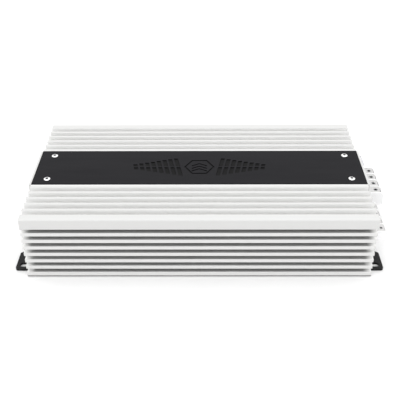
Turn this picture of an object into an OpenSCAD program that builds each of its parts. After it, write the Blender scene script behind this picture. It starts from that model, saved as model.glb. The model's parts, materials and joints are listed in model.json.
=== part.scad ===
// Finned car audio amplifier: an extruded heatsink over a printed circuit board,
// with an engraved cover plate, end panels, terminals, fuses, controls and feet.
// X runs along the fins, Y from front to back, Z up. The origin is the centre of
// the four foot slots on the underside.

/* [Heatsink] */
// Length of the finned extrusion
body_l = 300; // [280:1:420]
// Width of the extrusion over its side fins
body_w = 168; // [162:1:220]
// Height of the extrusion
body_h = 60.5; // [58:0.5:80]
// Width of the plain shoulder along each top edge
shoulder_w = 8.5; // [6:0.5:12]
// Height of the plain shoulder above the side fins
shoulder_h = 10; // [8:0.1:12]
// Radius of the shoulder corner
shoulder_r = 1.2; // [0.5:0.1:3]
// Grooves on each side of the cover plate
top_grooves = 5; // [3:1:5]
// Width of a top groove
top_groove_w = 5.7; // [4:0.1:6]
// Thickness of a top fin
top_fin_t = 3.2; // [2:0.1:3.5]
// Depth of a top groove
top_groove_d = 8; // [5:0.5:9]
// Width of the rail beside the cover plate
rail_w = 4.6; // [3:0.1:6]
// Height of a side groove
side_groove_h = 3.6; // [2.5:0.1:4.5]
// Thickness of a side fin
side_fin_t = 3.4; // [2.5:0.1:4.5]
// Depth of a side groove
side_groove_d = 9; // [6:0.5:9.5]
// Chamfer on every fin tip
tip_chamfer = 0.3; // [0.1:0.1:0.8]
// Wall left behind the side grooves
side_web_t = 3.5; // [3:0.5:4]
// Wall left under the top grooves
roof_t = 4; // [3:0.5:4.5]
// Half width of the raised channel inside the roof
channel_half_w = 15; // [8:1:16]
// Width of the flange under each side wall
flange_w = 12; // [10:1:13]
// Thickness of the flange
flange_t = 3; // [2.5:0.5:4]
// Side of a square screw port in the corners of the cavity
port_side = 7; // [6:0.5:8]

/* [Cover plate] */
// Thickness of the cover plate
cover_t = 2; // [1.5:0.1:3]
// How far the cover plate stands above the rails
cover_proud = 0.4; // [0:0.1:0.8]
// Gap along each long side of the cover plate
cover_gap = 0.15; // [0.1:0.05:0.5]
// Screw distance from the ends of the cover plate
cover_screw_in_x = 12.7; // [8:0.1:20]
// Screw distance from the long sides of the cover plate
cover_screw_in_y = 8.9; // [6:0.1:12]
// Height of the head of a cover screw
cover_head_h = 0.7; // [0.6:0.1:1.8]
// Depth of the engraving
engrave_d = 0.5; // [0.2:0.1:1]
// Width of an engraved stroke
engrave_w = 1.5; // [0.8:0.1:2.5]
// Bars on each side of the engraved emblem
engrave_bars = 8; // [4:1:9]

/* [Plates and feet] */
// Thickness of the bottom plate and of the feet
sheet_t = 2; // [1.5:0.1:2.5]
// Width of the lip that surrounds the bottom plate
bottom_lip = 4; // [3:0.5:5]
// Thickness of an end panel
panel_t = 2; // [1.5:0.1:3]
// How far the centre of a foot slot lies beyond the end of the body
slot_out_x = 5; // [4:0.5:8]
// How far the centre of a foot slot lies inside the side of the body
slot_in_y = 14; // [12:0.5:18]
// Distance of the outer bottom plate screws from the ends of the body
plate_screw_in = 50; // [35:1:90]
// Width of a foot slot
slot_w = 5.5; // [4.5:0.1:6.5]
// Length of a foot slot
slot_l = 9; // [7:0.5:11]
// Metal left outside the end of a foot slot
foot_tip = 3; // [2:0.5:6]
// Metal left between a foot slot and the front edge of the foot
foot_edge = 3.4; // [2.5:0.1:3.5]
// Length of a foot along the side of the body
foot_l = 27.5; // [22:0.5:32]
// How far a foot reaches under the body
foot_tongue = 22; // [20:1:30]
// Chamfer of the inner corner of a foot
foot_chamfer = 4.5; // [2:0.5:6]
// Radius of the outer corner of a foot
foot_r = 2.5; // [1:0.5:4]

/* [Power terminals] */
// Cells in the power terminal block
power_cells = 4; // [2:1:4]
// Distance between the cells
power_pitch = 11.2; // [10:0.1:11.4]
// Centre of the power terminal block
power_y = 16; // [14:0.5:16]
// How far the power terminals stand out of the end panel
power_reach = 20.3; // [16:0.1:26]
// Height of the power terminal block
power_h = 12.5; // [11:0.5:14]
// Radius of a power wire hole
power_bore_r = 3.3; // [2.5:0.1:3.6]
// Depth of a power wire hole
power_bore_l = 18; // [12:1:20]
// Radius of a power clamp screw
power_screw_r = 2.8; // [2:0.1:3]

/* [Speaker terminals] */
// Cells in the speaker terminal block
speaker_cells = 4; // [2:1:4]
// Distance between the cells
speaker_pitch = 11; // [9:0.1:11]
// Centre of the speaker terminal block
speaker_y = -45; // [-46:0.5:-43]
// How far the speaker terminals stand out of the end panel
speaker_reach = 10.3; // [9:0.1:14]
// Height of the speaker terminal block where it stands out
speaker_h = 8.8; // [8.6:0.1:10]
// Radius of a speaker wire hole
speaker_bore_r = 2.1; // [1.2:0.1:2.3]
// Depth of a speaker wire hole
speaker_bore_l = 12; // [8:1:14]
// Radius of a speaker clamp screw
speaker_screw_r = 1.9; // [1.5:0.1:2.4]

/* [Fuses] */
// Width of a blade fuse
fuse_w = 19.1; // [16:0.1:20]
// Thickness of a blade fuse
fuse_t = 5.1; // [4:0.1:6]
// How far a fuse stands out of its holder
fuse_reach = 9.5; // [7:0.5:12]
// Distance between the two fuses
fuse_pitch = 8; // [7.5:0.1:9]

/* [Controls] */
// Distance between the phono sockets
rca_pitch = 13; // [12:0.1:13.5]
// Outer radius of a phono socket
rca_r = 4.15; // [4:0.05:4.3]
// How far a phono socket stands out of the end panel
rca_reach = 9; // [8:0.5:10]
// Distance between the control knobs
knob_pitch = 11; // [10:0.1:11]
// Radius of a control knob
knob_r = 4; // [3.5:0.1:4.5]
// How far a control knob stands out of the end panel
knob_reach = 4; // [2:0.5:6]
// Travel of the crossover switch to each side of its middle
switch_travel = 2; // [1.5:0.1:2.5]

/* [Circuit board] */
// Height of the underside of the circuit board
pcb_z = 22.4; // [20:0.1:23]
// Thickness of the circuit board
pcb_t = 1.6; // [1:0.2:2.4]
// Distance of the outer board standoffs from the ends of the body
standoff_in = 30; // [28:1:32]
// Distance of the inner board standoffs from the middle of the body
standoff_mid = 40; // [37:1:50]
// Transistors along each side wall
transistors = 10; // [6:2:12]
// Distance of the outer transistors from the ends of the body
transistor_in = 51; // [45:1:60]
// Distance of the transformers from the right end of the body
transformer_in = 75; // [70:1:80]
// Outer radius of a transformer core
transformer_r = 22; // [18:0.5:23]
// Height of a transformer core
transformer_h = 17; // [12:0.5:19]
// Radius of a storage capacitor
cap_r = 9; // [6:0.5:9.5]
// Height of a storage capacitor
cap_h = 21; // [15:0.5:23]

/* [Hidden] */
$fn = 48;

// Clearances: beside a seated part, round a screw, and round a running shaft
seat_gap = 0.3;
screw_gap = 0.1;
run_gap = 0.05;
cut = 1;                    // how far a cutting tool runs past the faces it cuts

// Screws: M3 and M4 shank radii, head radii and head heights
m3_r = 1.5;
m3_head_r = 3;
m3_head_h = 1.7;
m3_socket = 2;
m4_r = 2;
m4_head_r = 3.9;
screw_in = 4.5;             // thread length inside the flange

// Heatsink
side_pitch = side_groove_h + side_fin_t;
bottom_band = 4.8;             // least height left below the lowest side groove
side_grooves = floor((body_h - shoulder_h - bottom_band + side_fin_t) / side_pitch + 0.001);
top_pitch = top_groove_w + top_fin_t;
cover_room = body_w - 2 * (shoulder_w + top_grooves * top_pitch - top_fin_t + rail_w);
cover_seat_z = body_h - cover_t + cover_proud;
inner_half_w = body_w / 2 - side_groove_d - side_web_t;
roof_z = body_h - top_groove_d - roof_t;
channel_z = cover_seat_z - roof_t;
flange_z = sheet_t + flange_t;
port_y = inner_half_w - port_side / 2;
port_low_z = flange_z + port_side / 2;
port_high_z = roof_z - port_side / 2;
port_r = m3_r - 0.25;

// Cover plate
cover_w = cover_room - 2 * cover_gap;
cover_z = body_h + cover_proud;
cover_screw_x = body_l / 2 - cover_screw_in_x;
cover_screw_y = cover_w / 2 - cover_screw_in_y;

// Plates and feet
recess_half_w = body_w / 2 - bottom_lip;
panel_x = body_l / 2 + panel_t;
panel_half_w = body_w / 2 - side_groove_d - 0.5;
panel_low_z = sheet_t + 0.3;
panel_high_z = body_h - top_groove_d - 0.5;
foot_x = body_l / 2 + slot_out_x;
foot_y = body_w / 2 - slot_in_y;
foot_front_y = foot_y + slot_w / 2 + foot_edge;
foot_back_y = foot_front_y - foot_l;
foot_end_x = foot_x + slot_l / 2 + foot_tip;
foot_inner_x = body_l / 2 - foot_tongue;
foot_screw_xs = [foot_inner_x + 5, foot_inner_x + 16];
plate_screw_x = body_l / 2 - plate_screw_in;
plate_screw_xs = [-plate_screw_x, 0, plate_screw_x];

// Circuit board
pcb_half_l = body_l / 2 - 1;
pcb_half_w = inner_half_w - 1.5;
pcb_top = pcb_z + pcb_t;
standoff_x = body_l / 2 - standoff_in;
standoff_xs = [-standoff_x, -standoff_mid, standoff_mid, standoff_x];
standoff_y = port_y - 12.5;
standoff_shank_r = 2.1;

// Power terminals: clear plastic tray with plated blocks
cell_wall = 1.2;
tray_t = 1;
power_w = power_cells * power_pitch + cell_wall;
power_in_x = body_l / 2 - 10;
power_out_x = panel_x + power_reach;
power_top = pcb_top + power_h;
power_block_low = pcb_top + tray_t;
power_block_top = power_top - 0.4;
power_block_w = power_pitch - cell_wall - 0.4;
power_block_out = power_out_x - 1;
power_bore_z = power_block_low + power_bore_r + 0.7;
power_screw_x = power_out_x - 6.3;
power_screw_low = power_bore_z + power_bore_r + 0.2;
pin_r = 0.9;

// Speaker terminals: the same, lower, with a step over the panel
speaker_w = speaker_cells * speaker_pitch + cell_wall;
speaker_in_x = body_l / 2 - 8;
speaker_out_x = panel_x + speaker_reach;
speaker_top = power_top - 0.2;
speaker_low = speaker_top - speaker_h;
speaker_block_low = speaker_low + tray_t;
speaker_block_top = speaker_top - 0.3;
speaker_block_w = speaker_pitch - cell_wall - 0.4;
speaker_block_out = speaker_out_x - 0.5;
speaker_bore_z = speaker_block_low + speaker_bore_r + 0.4;
speaker_screw_x = speaker_out_x - 3.8;
speaker_screw_low = speaker_bore_z + speaker_bore_r + 0.2;

// Fuses, one above the other, beside the power block
holder_w = fuse_w + 1.2;
holder_y = power_y + power_w / 2 + 1 + holder_w / 2;
holder_low = pcb_top;
holder_h = 2 * fuse_pitch - 0.4;
holder_in_x = body_l / 2 - 12;
holder_out_x = panel_x + 1;
fuse_low_z = holder_low + holder_h / 2 - fuse_pitch / 2;
fuse_high_z = fuse_low_z + fuse_pitch;
fuse_out_x = holder_out_x + fuse_reach;
blade_w = 5.2;
blade_t = 0.65;
blade_y = fuse_w / 2 - blade_w / 2 - 1.3;
blade_l = 11;

// Controls on the left end
control_z = pcb_top + 6.5;
rca_ys = [for (i = [0:3]) inner_half_w - 11.5 - i * rca_pitch];
rca_inner_r = rca_r - 0.65;
rca_collar_r = rca_r + 0.45;
rca_hole_r = 1.75;
rca_base_side = 5.5;
rca_base_l = 12;
knob_ys = [for (i = [0:3]) rca_ys[3] - 14 - i * knob_pitch];
pot_w = 9.5;
pot_h = 11;
pot_l = 7;
pot_front_x = -(body_l / 2 - 1);
shaft_r = 3;
shaft_l = 5;
switch_ys = [knob_ys[3] - 11.5, knob_ys[3] - 21];
switch_w = 8.8;
switch_h = 6;
switch_l = 6;
nub_w = 2.4;
nub_h = 2.6;
nub_reach = 2.5;
level_travel = 3;
port_y0 = switch_ys[1] - 11.2;
port_w = 10;
port_h = 10;
port_mouth = 7;
port_depth = 9;
led_ys = [knob_ys[1], knob_ys[2]];
led_z = control_z + 10;
led_r = 1.5;

// Power stage
wall_pad_t = 0.3;
package_t = 4.5;
package_w = 10;
package_z = pcb_top + 3;
package_h = roof_z - port_side - package_z - 1;
package_y = inner_half_w - wall_pad_t - package_t;
transistor_span = body_l - 2 * transistor_in;
transistor_pitch = transistor_span / (transistors - 1);
bar_t = 3;
bar_h = 8;
bar_z = package_z + package_h - bar_h;
bar_y = package_y - bar_t;
bar_screw_xs = [-transistor_pitch * (transistors / 2 - 1), 0, transistor_pitch * (transistors / 2 - 1)];
transformer_x = body_l / 2 - transformer_in;
transformer_y = transformer_r + 4;
transformer_hole_r = transformer_r / 2;
transformer_z = pcb_top + 2;
wire_t = 1.6;
turns = 26;
choke_x = -20;
choke_ys = [-43, -14.5, 14.5, 43];
choke_r = 12;
choke_hole_r = 6;
choke_h = 9;
cap_xs = [transformer_x + 39, transformer_x - 45];
cap_ys = [-31.5, -10.5, 10.5, 31.5];
driver_x = -body_l / 2 + 90;
driver_w = 90;
driver_t = 1.6;
driver_h = 17;

// ---------- outlines and small tools ----------

function arc(cx, cy, r, from, to, steps = 6) =
    [for (i = [0:steps]) let (a = from + (to - from) * i / steps) [cx + r * cos(a), cy + r * sin(a)]];

// Turns a YZ outline into a bar along X
module along_x(from, to) {
    translate([from, 0, 0]) rotate([90, 0, 90]) linear_extrude(to - from) children();
}

// Cylinder along +X from one X to another
module rod_x(r, from, to) {
    translate([from, 0, 0]) rotate([0, 90, 0]) cylinder(r = r, h = to - from);
}

// Box given by its lowest and highest corners
module block(low, high) {
    translate(low) cube(high - low);
}

// Groove with chamfered lips, open towards +Y of its own outline
module groove_outline(w, d) {
    polygon([
        [-w / 2 - tip_chamfer, cut], [-w / 2 - tip_chamfer, 0], [-w / 2, -tip_chamfer], [-w / 2, -d],
        [w / 2, -d], [w / 2, -tip_chamfer], [w / 2 + tip_chamfer, 0], [w / 2 + tip_chamfer, cut]
    ]);
}

// Button-head screw pointing down, with its domed head seated at the origin
module button_screw(r, head_r, head_h, length) {
    rim = 0.35;
    dome_h = head_h - rim;
    dome_r = (head_r * head_r + dome_h * dome_h) / (2 * dome_h);
    difference() {
        union() {
            intersection() {
                cylinder(r = head_r, h = head_h);
                translate([0, 0, head_h - dome_r]) sphere(r = dome_r);
            }
            translate([0, 0, -length]) cylinder(r = r, h = length + 0.2);
        }
        translate([0, 0, head_h * 0.3]) cylinder(r = m3_socket / 2 * 1.1547, h = head_h, $fn = 6);
    }
}

// Countersunk screw pointing up, with its flat head in the plane of the origin
module sunk_screw(r, head_r, length, socket) {
    difference() {
        union() {
            cylinder(r1 = head_r, r2 = r, h = head_r - r);
            cylinder(r = r, h = length);
        }
        translate([0, 0, -cut]) cylinder(r = socket / 2 * 1.1547, h = cut + 1.2, $fn = 6);
    }
}

// Countersunk hole that such a screw fits, from the plane of the origin upwards
module sunk_hole(r, head_r) {
    translate([0, 0, -cut]) cylinder(r = r + screw_gap, h = sheet_t + 2 * cut);
    translate([0, 0, -0.001]) cylinder(r1 = head_r + screw_gap, r2 = r + screw_gap, h = head_r - r);
}

// ---------- extrusion, cover and plates ----------

module body_outline() {
    half = body_w / 2;
    lower_r = 0.8;
    polygon(concat(
        arc(half - lower_r, lower_r, lower_r, -90, 0, 3),
        arc(half - shoulder_r, body_h - shoulder_r, shoulder_r, 0, 90),
        arc(-half + shoulder_r, body_h - shoulder_r, shoulder_r, 90, 180),
        arc(-half + lower_r, lower_r, lower_r, 180, 270, 3)
    ));
}

module cavity_outline() {
    difference() {
        union() {
            translate([-inner_half_w, flange_z])
                square([2 * inner_half_w, roof_z - flange_z]);
            translate([-channel_half_w, flange_z])
                square([2 * channel_half_w, channel_z - flange_z]);
            translate([-inner_half_w + flange_w, -cut])
                square([2 * (inner_half_w - flange_w), flange_z + 2 * cut]);
            translate([-recess_half_w, -cut]) square([2 * recess_half_w, sheet_t + cut]);
        }
        for (side = [-1, 1], z = [flange_z, roof_z - port_side])
            translate([side * port_y - port_side / 2, z - 0.01])
                square([port_side, port_side + 0.02]);
    }
    for (side = [-1, 1], z = [port_low_z, port_high_z])
        translate([side * port_y, z]) circle(r = port_r);
}

module heatsink_outline() {
    difference() {
        body_outline();
        for (side = [-1, 1], i = [0:top_grooves - 1])
            translate([side * (body_w / 2 - shoulder_w - top_groove_w / 2 - i * top_pitch), body_h])
                groove_outline(top_groove_w, top_groove_d);
        for (side = [-1, 1], i = [0:side_grooves - 1])
            translate([side * body_w / 2, body_h - shoulder_h - side_groove_h / 2 - i * side_pitch])
                rotate(-side * 90) groove_outline(side_groove_h, side_groove_d);
        translate([-cover_room / 2, cover_seat_z]) square([cover_room, cover_t + cut]);
        cavity_outline();
    }
}

module heatsink() {
    color("whitesmoke") difference() {
        along_x(-body_l / 2, body_l / 2) heatsink_outline();
        at_cover_screws(cover_seat_z) translate([0, 0, -9]) cylinder(r = m3_r, h = 9 + cut);
        at_plate_screws() cylinder(r = m3_r, h = sheet_t + screw_in);
        at_foot_screws() cylinder(r = m4_r, h = sheet_t + screw_in - 0.2);
        at_bar_screws() cylinder(r = m3_r, h = bar_t + package_t + wall_pad_t + 2.6);
    }
}

module at_cover_screws(z) {
    for (sx = [-1, 1], sy = [-1, 1])
        translate([sx * cover_screw_x, sy * cover_screw_y, z]) children();
}

module at_plate_screws() {
    for (x = plate_screw_xs, sy = [-1, 1]) translate([x, sy * port_y, 0]) children();
}

module at_foot_screws() {
    for (x = foot_screw_xs, sx = [-1, 1], sy = [-1, 1])
        translate([sx * x, sy * port_y, 0]) children();
}

// Frames on the inner face of each clamp bar, pointing at the side wall
module at_bar_screws() {
    for (x = bar_screw_xs, side = [-1, 1])
        translate([x, side * bar_y, bar_z + bar_h / 2]) rotate([-side * 90, 0, 0]) children();
}

module at_panel_screws(side) {
    for (sy = [-1, 1], z = [port_low_z, port_high_z])
        translate([side * panel_x, sy * port_y, z]) rotate([0, side * 90, 0]) children();
}

module at_standoffs(z) {
    for (x = standoff_xs, sy = [-1, 1]) translate([x, sy * standoff_y, z]) children();
}

// Emblem of a ringed hexagon, nested chevrons and stepped slanted bars
module emblem_outline() {
    ring_r = 14;
    difference() {
        circle(r = ring_r, $fn = 6);
        circle(r = ring_r - engrave_w * 1.1547, $fn = 6);
    }
    for (i = [0:2]) translate([0, 4.5 - 4.5 * i]) {
        chevron_half = 7;
        polygon([
            [-chevron_half, -2], [0, 2], [chevron_half, -2],
            [chevron_half, -2 - engrave_w], [0, 2 - engrave_w], [-chevron_half, -2 - engrave_w]
        ]);
    }
    for (side = [-1, 1], i = [0:engrave_bars - 1]) {
        h = 30 - 3 * i;
        x = side * (19.5 + 5.6 * i);
        lean = side * h * 0.18;
        difference() {
            polygon([
                [x - 1.9 - lean / 2, -h / 2], [x + 1.9 - lean / 2, -h / 2],
                [x + 1.9 + lean / 2, h / 2], [x - 1.9 + lean / 2, h / 2]
            ]);
            translate([x - 4, -engrave_w / 2]) square([8, engrave_w]);
        }
    }
}

module top_plate() {
    color([0.2, 0.2, 0.21]) difference() {
        block([-body_l / 2, -cover_w / 2, cover_seat_z], [body_l / 2, cover_w / 2, cover_z]);
        at_cover_screws(cover_seat_z - cut) cylinder(r = m3_r + screw_gap, h = cover_t + 2 * cut);
        translate([0, 0, cover_z - engrave_d]) linear_extrude(engrave_d + cut) emblem_outline();
    }
}

module top_plate_screws() {
    color("silver") at_cover_screws(cover_z)
        button_screw(m3_r - 0.02, m3_head_r, cover_head_h, cover_t + 7);
}

module bottom_plate() {
    notch_x = foot_inner_x - seat_gap;
    notch_y = foot_back_y - seat_gap;
    half_l = body_l / 2 - 0.2;
    half_w = recess_half_w - 0.2;
    color([0.18, 0.18, 0.19]) difference() {
        block([-half_l, -half_w, 0], [half_l, half_w, sheet_t]);
        for (sx = [-1, 1], sy = [-1, 1]) translate([sx * notch_x, sy * notch_y, -cut])
            mirror([sx < 0 ? 1 : 0, 0, 0]) mirror([0, sy < 0 ? 1 : 0, 0])
                cube([body_l, body_w, sheet_t + 2 * cut]);
        at_plate_screws() sunk_hole(m3_r, m3_head_r);
        at_standoffs(-cut) cylinder(r = standoff_shank_r + run_gap, h = sheet_t + 2 * cut);
    }
}

module bottom_plate_screws() {
    color([0.15, 0.15, 0.15]) at_plate_screws()
        sunk_screw(m3_r - 0.02, m3_head_r, sheet_t + screw_in - 0.3, m3_socket);
}

// Plain end panel with its screw holes and a raised middle as wide as the recess of the cover
module panel_blank(side) {
    from = side > 0 ? body_l / 2 : -panel_x;
    difference() {
        union() {
            block([from, -panel_half_w, panel_low_z], [from + panel_t, panel_half_w, panel_high_z]);
            block([from, -cover_room / 2, panel_low_z], [from + panel_t, cover_room / 2, body_h]);
        }
        at_panel_screws(side) translate([0, 0, -panel_t - cut])
            cylinder(r = m3_r + screw_gap, h = panel_t + 2 * cut);
    }
}

module left_end_panel() {
    out = -panel_x - cut;
    in = -body_l / 2 + cut;
    color("gainsboro") difference() {
        panel_blank(-1);
        for (y = rca_ys) translate([0, y, control_z]) rod_x(rca_collar_r + seat_gap, out, in);
        for (y = knob_ys) translate([0, y, control_z]) rod_x(knob_r + 0.4, out, in);
        for (y = led_ys) translate([0, y, led_z]) rod_x(led_r + 0.1, out, in);
        for (y = switch_ys) block(
            [out, y - nub_w / 2 - switch_travel - 0.5, control_z - nub_h / 2 - 0.4],
            [in, y + nub_w / 2 + switch_travel + 0.5, control_z + nub_h / 2 + 0.4]);
        block([out, port_y0 - port_w / 2 - seat_gap, pcb_top - seat_gap],
            [in, port_y0 + port_w / 2 + seat_gap, pcb_top + port_h + seat_gap]);
    }
}

module right_end_panel() {
    in = body_l / 2 - cut;
    out = panel_x + cut;
    color("gainsboro") difference() {
        panel_blank(1);
        block([in, power_y - power_w / 2 - seat_gap, pcb_top - seat_gap],
            [out, power_y + power_w / 2 + seat_gap, power_top + seat_gap]);
        block([in, speaker_y - speaker_w / 2 - seat_gap, speaker_low - seat_gap],
            [out, speaker_y + speaker_w / 2 + seat_gap, speaker_top + seat_gap]);
        block([in, holder_y - holder_w / 2 - seat_gap, holder_low - seat_gap],
            [out, holder_y + holder_w / 2 + seat_gap, holder_low + holder_h + seat_gap]);
    }
}

module end_panel_screws() {
    color([0.2, 0.2, 0.2]) for (side = [-1, 1]) at_panel_screws(side)
        button_screw(port_r - 0.02, m3_head_r, m3_head_h, panel_t + 8);
}

// One foot, drawn for the +X, +Y corner and mirrored to the others
module foot(sx, sy) {
    color([0.2, 0.2, 0.2]) mirror([sx < 0 ? 1 : 0, 0, 0]) mirror([0, sy < 0 ? 1 : 0, 0]) difference() {
        linear_extrude(sheet_t) difference() {
            polygon(concat(
                arc(foot_end_x - foot_r, foot_front_y - foot_r, foot_r, 0, 90),
                [[foot_inner_x, foot_front_y], [foot_inner_x, foot_back_y]],
                [[foot_end_x - 1.4 * foot_chamfer, foot_back_y], [foot_end_x, foot_back_y + foot_chamfer]]
            ));
            translate([foot_x, foot_y]) {
                square([slot_l - slot_w, slot_w], center = true);
                for (end = [-1, 1]) translate([end * (slot_l - slot_w) / 2, 0]) circle(d = slot_w);
            }
        }
        for (x = foot_screw_xs) translate([x, port_y, 0]) sunk_hole(m4_r, m4_head_r);
    }
}

module foot_front_left() { foot(-1, -1); }
module foot_front_right() { foot(1, -1); }
module foot_rear_left() { foot(-1, 1); }
module foot_rear_right() { foot(1, 1); }

module foot_screws() {
    color([0.15, 0.15, 0.15]) at_foot_screws()
        sunk_screw(m4_r - 0.02, m4_head_r, sheet_t + screw_in - 0.5, 2.5);
}

// ---------- terminals and fuses on the right end ----------

// Clear tray: floor, back wall and a fin on each side of every cell
module terminal_tray(cells, pitch, y, in_x, out_x, low, top, slope) {
    width = cells * pitch + cell_wall;
    block([in_x, y - width / 2, low], [out_x, y + width / 2, low + tray_t]);
    block([in_x, y - width / 2, low], [in_x + cell_wall, y + width / 2, top]);
    for (i = [0:cells])
        translate([0, y - width / 2 + i * pitch + cell_wall, 0]) rotate([90, 0, 0])
            linear_extrude(cell_wall) polygon([
                [in_x, low], [out_x, low], [out_x, top - slope], [out_x - slope, top], [in_x, top]
            ]);
}

module terminal_block(in_x, out_x, w, low, top, slope) {
    rotate([90, 0, 0]) translate([0, 0, -w / 2]) linear_extrude(w) polygon([
        [in_x, low], [out_x, low], [out_x, top - slope], [out_x - slope, top], [in_x, top]
    ]);
}

// Set screw with a hexagon socket, from one height to another
module set_screw(r, low, top, socket) {
    tip = 0.5;
    difference() {
        union() {
            translate([0, 0, low]) cylinder(r1 = r - tip, r2 = r, h = tip);
            translate([0, 0, low + tip]) cylinder(r = r, h = top - low - tip);
        }
        translate([0, 0, top - 2.2]) cylinder(r = socket / 2 * 1.1547, h = 3, $fn = 6);
    }
}

function power_cell_y(i) = power_y + (i - (power_cells - 1) / 2) * power_pitch;
function speaker_cell_y(i) = speaker_y + (i - (speaker_cells - 1) / 2) * speaker_pitch;

module power_terminal_housing() {
    color([0.9, 0.9, 0.92, 0.6]) difference() {
        terminal_tray(power_cells, power_pitch, power_y, power_in_x, power_out_x, pcb_top, power_top, 2.5);
        for (i = [0:power_cells - 1]) translate([power_in_x + 4, power_cell_y(i), pcb_top - cut])
            cylinder(r = pin_r + 0.2, h = tray_t + 2 * cut);
    }
}

module power_terminal_contacts() {
    back = power_in_x + cell_wall + 0.2;
    color("gainsboro") for (i = [0:power_cells - 1]) translate([0, power_cell_y(i), 0]) difference() {
        union() {
            terminal_block(back, power_block_out, power_block_w, power_block_low, power_block_top, 2);
            translate([power_in_x + 4, 0, pcb_z - 1])
                cylinder(r = pin_r, h = power_block_low - pcb_z + 2);
        }
        translate([0, 0, power_bore_z])
            rod_x(power_bore_r, power_block_out - power_bore_l, power_block_out + cut);
        translate([power_screw_x, 0, power_bore_z])
            cylinder(r = power_screw_r + run_gap, h = power_h);
    }
}

module power_clamp_screw(i) {
    color("dimgray") translate([power_screw_x, power_cell_y(i), 0])
        set_screw(power_screw_r, power_screw_low, power_block_top, 3);
}

module power_clamp_screw_1() { power_clamp_screw(0); }
module power_clamp_screw_2() { power_clamp_screw(1); }
module power_clamp_screw_3() { power_clamp_screw(2); }
module power_clamp_screw_4() { power_clamp_screw(3); }

module speaker_terminal_housing() {
    color([0.9, 0.9, 0.92, 0.6]) difference() {
        union() {
            terminal_tray(speaker_cells, speaker_pitch, speaker_y, speaker_in_x, speaker_out_x,
                speaker_low, speaker_top, 1.2);
            block([speaker_in_x, speaker_y - speaker_w / 2, pcb_top],
                [pcb_half_l - 0.5, speaker_y + speaker_w / 2, speaker_low + 0.5]);
        }
        for (i = [0:speaker_cells - 1])
            translate([speaker_in_x + 3, speaker_cell_y(i), pcb_top - cut])
                cylinder(r = pin_r + 0.2, h = speaker_h + cut);
    }
}

module speaker_terminal_contacts() {
    back = speaker_in_x + cell_wall + 0.2;
    color("gainsboro") for (i = [0:speaker_cells - 1]) translate([0, speaker_cell_y(i), 0]) difference() {
        union() {
            terminal_block(back, speaker_block_out, speaker_block_w, speaker_block_low,
                speaker_block_top, 1);
            translate([speaker_in_x + 3, 0, pcb_z - 1])
                cylinder(r = pin_r, h = speaker_block_low - pcb_z + 2);
        }
        translate([0, 0, speaker_bore_z])
            rod_x(speaker_bore_r, speaker_block_out - speaker_bore_l, speaker_block_out + cut);
        translate([speaker_screw_x, 0, speaker_bore_z])
            cylinder(r = speaker_screw_r + run_gap, h = speaker_h);
    }
}

module speaker_clamp_screw(i) {
    color("dimgray") translate([speaker_screw_x, speaker_cell_y(i), 0])
        set_screw(speaker_screw_r, speaker_screw_low, speaker_block_top, 2);
}

module speaker_clamp_screw_1() { speaker_clamp_screw(0); }
module speaker_clamp_screw_2() { speaker_clamp_screw(1); }
module speaker_clamp_screw_3() { speaker_clamp_screw(2); }
module speaker_clamp_screw_4() { speaker_clamp_screw(3); }

module fuse_holder() {
    color([0.12, 0.12, 0.13]) difference() {
        block([holder_in_x, holder_y - holder_w / 2, holder_low],
            [holder_out_x, holder_y + holder_w / 2, holder_low + holder_h]);
        for (z = [fuse_low_z, fuse_high_z], side = [-1, 1]) {
            slot_y = holder_y + side * blade_y;
            block([holder_in_x + 1, slot_y - blade_w / 2 - 0.5, z - 1.6],
                [holder_out_x + cut, slot_y + blade_w / 2 + 0.5, z + 1.6]);
        }
    }
}

// Sprung contact strips on both faces of every fuse blade
module fuse_clips() {
    color("gainsboro") for (z = [fuse_low_z, fuse_high_z], side = [-1, 1], face = [-1, 1]) {
        slot_y = holder_y + side * blade_y;
        strip_z = z + face * 1.25;
        block([holder_in_x + 1, slot_y - blade_w / 2 + 0.3, strip_z - 0.35],
            [holder_out_x - 1.5, slot_y + blade_w / 2 - 0.3, strip_z + 0.35]);
    }
}

module fuse_cap(z) {
    wall = 1;
    cap_in_x = holder_out_x + 0.4;
    grip_in = 1.2;
    color([0.92, 0.93, 0.95, 0.5]) difference() {
        union() {
            block([cap_in_x, holder_y - fuse_w / 2, z - fuse_t / 2],
                [fuse_out_x - 3, holder_y + fuse_w / 2, z + fuse_t / 2]);
            block([cap_in_x, holder_y - fuse_w / 2 + grip_in, z - fuse_t / 2],
                [fuse_out_x, holder_y + fuse_w / 2 - grip_in, z + fuse_t / 2]);
        }
        block([cap_in_x - cut, holder_y - fuse_w / 2 + wall, z - fuse_t / 2 + wall],
            [fuse_out_x - 3 - wall, holder_y + fuse_w / 2 - wall, z + fuse_t / 2 - wall]);
    }
}

// Two blades joined by the arched fuse wire inside the cap
module fuse_blades(z) {
    in_x = holder_out_x + 0.4 - blade_l;
    shoulder_x = fuse_out_x - 5.2;
    color("silver") {
        for (side = [-1, 1]) {
            y = holder_y + side * blade_y;
            block([in_x, y - blade_w / 2, z - blade_t / 2], [shoulder_x, y + blade_w / 2, z + blade_t / 2]);
        }
        block([shoulder_x - 2, holder_y - blade_y, z - blade_t / 2],
            [shoulder_x - 0.8, holder_y + blade_y, z + blade_t / 2]);
    }
}

module lower_fuse_cap() { fuse_cap(fuse_low_z); }
module lower_fuse_blades() { fuse_blades(fuse_low_z); }
module upper_fuse_cap() { fuse_cap(fuse_high_z); }
module upper_fuse_blades() { fuse_blades(fuse_high_z); }

// ---------- sockets and controls on the left end ----------

module rca_base() {
    front = -body_l / 2 + 0.3;
    color([0.1, 0.1, 0.1]) difference() {
        block([front, rca_ys[3] - rca_base_side, pcb_top],
            [front + rca_base_l, rca_ys[0] + rca_base_side, pcb_top + 12]);
        for (y = rca_ys) translate([0, y, control_z])
            rod_x(rca_collar_r + run_gap, front - cut, front + 2.5);
    }
}

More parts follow.
